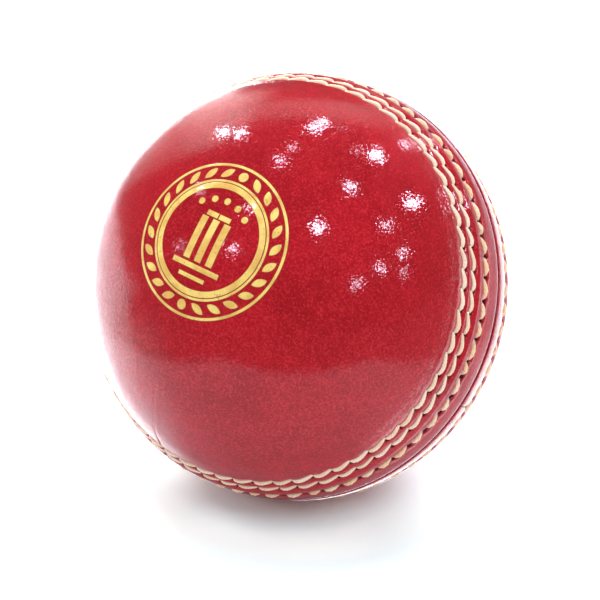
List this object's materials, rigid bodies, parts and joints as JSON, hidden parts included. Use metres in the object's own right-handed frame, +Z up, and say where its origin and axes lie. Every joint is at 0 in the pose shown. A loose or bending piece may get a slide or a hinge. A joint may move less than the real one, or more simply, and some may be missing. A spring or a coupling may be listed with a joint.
{
  "type": "cricket ball",
  "caption": "Hard ball with a wound cork and wool centre in a stitched leather case with a raised seam, for bowling and batting.",
  "frame": {"origin": "centre of the ball", "axes": "+Z up with the ball lying still on a level table; the seam's axis lies in the YZ plane, with the stamped cup facing -Y and up; X lies in the seam's plane"},
  "size_m": [0.0734, 0.072, 0.072],
  "materials": {
    "lacquered_leather": "dyed red, lacquered and polished to a high gloss, fine grain",
    "linen_thread": "cream twisted linen thread, matt",
    "waxed_linen_thread": "yellower waxed linen thread",
    "gold_foil": "gold foil pressed into the leather, slightly worn",
    "lining_leather": "undyed suede lining",
    "worsted_wool": "tightly wound worsted yarn",
    "wool": "wound wool yarn",
    "cork": "natural cork with dark lenticels",
    "cork_rubber": "moulded granules of cork in rubber"
  },
  "bodies": {
    "root": {"core_nucleus": "cork_rubber", "wool_winding_1": "wool", "cork_slips_1": "cork", "wool_winding_2": "wool", "cork_slips_2": "cork", "wool_winding_3": "wool", "cork_slips_3": "cork", "wool_winding_4": "wool", "cork_slips_4": "cork", "worsted_outer_winding": "worsted_wool", "cup_lining_stamped": "lining_leather", "cup_lining_plain": "lining_leather", "leather_quarter_stamped_left": "lacquered_leather", "leather_quarter_stamped_right": "lacquered_leather", "leather_quarter_plain_upper": "lacquered_leather", "leather_quarter_plain_lower": "lacquered_leather", "quarter_thread_stamped": "linen_thread", "quarter_thread_plain": "linen_thread", "closing_row_stamped": "waxed_linen_thread", "closing_row_plain": "waxed_linen_thread", "inner_grip_row_stamped": "linen_thread", "inner_grip_row_plain": "linen_thread", "outer_grip_row_stamped": "linen_thread", "outer_grip_row_plain": "linen_thread", "gold_foil_stamp": "gold_foil"}
  },
  "joints": []
}
